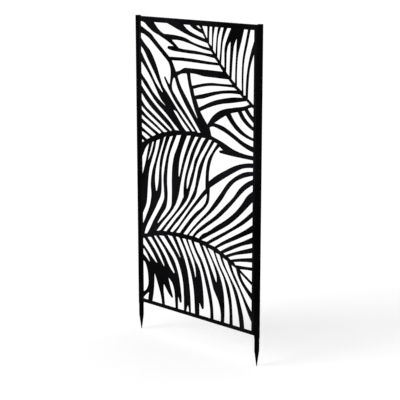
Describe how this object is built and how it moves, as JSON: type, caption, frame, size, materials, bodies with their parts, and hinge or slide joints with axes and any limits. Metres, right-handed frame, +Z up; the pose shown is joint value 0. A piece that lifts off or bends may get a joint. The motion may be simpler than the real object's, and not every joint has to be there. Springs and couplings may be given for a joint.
{
  "type": "privacy screen",
  "caption": "Tall garden privacy screen: a sheet-steel panel cut with palm leaves, its edges folded back, screwed between square posts with ground spikes.",
  "frame": {"origin": "ground level, midway between the two posts, in the posts' centre plane", "axes": "+Z up, +X to the right of someone who faces the screen's front, -Y out of the front; the spikes reach below the origin, into the ground"},
  "size_m": [1, 0.0295, 1.99],
  "materials": {
    "panel": "black powder coat, fine texture",
    "posts": "black powder coat, fine texture",
    "spikes": "black powder coat, fine texture",
    "caps": "black moulded plastic",
    "fasteners": "zinc-plated steel"
  },
  "bodies": {
    "root": {"screen_panel": "panel", "left_post": "posts", "right_post": "posts", "left_post_cap": "caps", "right_post_cap": "caps", "left_ground_spike": "spikes", "right_ground_spike": "spikes", "left_rivet_nuts": "fasteners", "right_rivet_nuts": "fasteners", "left_panel_washers": "fasteners", "right_panel_washers": "fasteners", "left_panel_screws": "fasteners", "right_panel_screws": "fasteners", "left_spike_nut": "fasteners", "right_spike_nut": "fasteners", "left_spike_washer": "fasteners", "right_spike_washer": "fasteners", "left_spike_screw": "fasteners", "right_spike_screw": "fasteners"}
  },
  "joints": []
}
